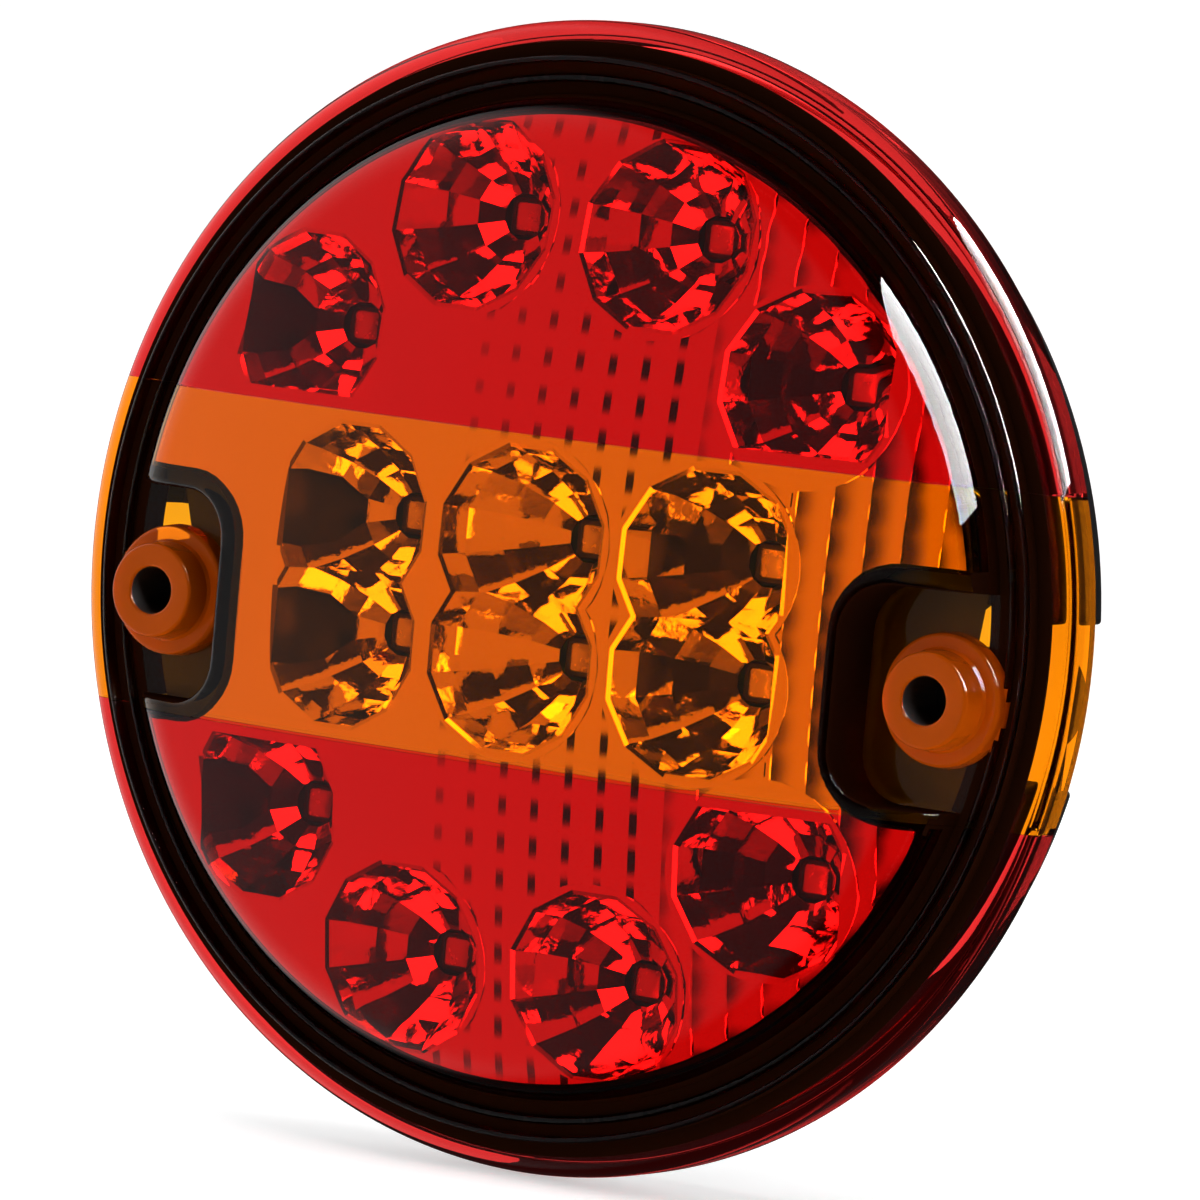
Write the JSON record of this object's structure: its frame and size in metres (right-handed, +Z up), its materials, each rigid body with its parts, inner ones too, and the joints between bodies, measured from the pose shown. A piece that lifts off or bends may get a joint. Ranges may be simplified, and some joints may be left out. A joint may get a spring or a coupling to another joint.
{
  "type": "trailer tail light",
  "caption": "Round combination tail light with a domed red and amber lens over faceted reflector cups, in a low black housing screwed on from the front.",
  "frame": {"origin": "centre of the housing's flat rear face", "axes": "+X to the right as seen from in front, +Z up, +Y into the vehicle, so the light shines towards -Y"},
  "size_m": [0.14, 0.074, 0.14],
  "materials": {
    "lens_red": "clear moulded red",
    "lens_amber": "clear moulded amber",
    "reflector_chrome": "vacuum metallised",
    "black_plastic": "fine satin",
    "rubber": "matt",
    "board": "solder resist",
    "can_aluminium": "drawn",
    "cable_jacket": "satin",
    "wire_black": "satin",
    "wire_red": "satin",
    "led_epoxy": "clear cast",
    "screw_steel": "zinc plated",
    "chip_epoxy": "moulded epoxy"
  },
  "bodies": {
    "base": {"housing": "black_plastic", "lens_seal": "rubber", "reflector": "reflector_chrome", "circuit_board": "board", "led_red_1": "led_epoxy", "led_red_2": "led_epoxy", "led_red_3": "led_epoxy", "led_red_4": "led_epoxy", "led_red_5": "led_epoxy", "led_red_6": "led_epoxy", "led_red_7": "led_epoxy", "led_red_8": "led_epoxy", "led_amber_1": "led_epoxy", "led_amber_2": "led_epoxy", "led_amber_3": "led_epoxy", "led_amber_4": "led_epoxy", "led_amber_5": "led_epoxy", "led_amber_6": "led_epoxy", "board_screw_1": "screw_steel", "board_screw_2": "screw_steel", "board_screw_3": "screw_steel", "board_screw_4": "screw_steel", "driver_tail": "chip_epoxy", "driver_stop": "chip_epoxy", "driver_indicator": "chip_epoxy", "polarity_diode": "chip_epoxy", "surge_suppressor": "chip_epoxy", "filter_capacitor": "can_aluminium", "cable": "cable_jacket", "cable_grommet": "rubber", "wire_ground": "wire_black", "wire_tail": "wire_red", "wire_stop": "wire_red", "wire_indicator": "wire_red"},
    "lens_cover": {"lens_red_upper": "lens_red", "lens_amber_band": "lens_amber", "lens_red_lower": "lens_red"}
  },
  "joints": [
    {"name": "lens_lift", "type": "slide", "parent": "base", "child": "lens_cover", "axis": [0, -1, 0], "range_m": [0, 0.045]}
  ]
}
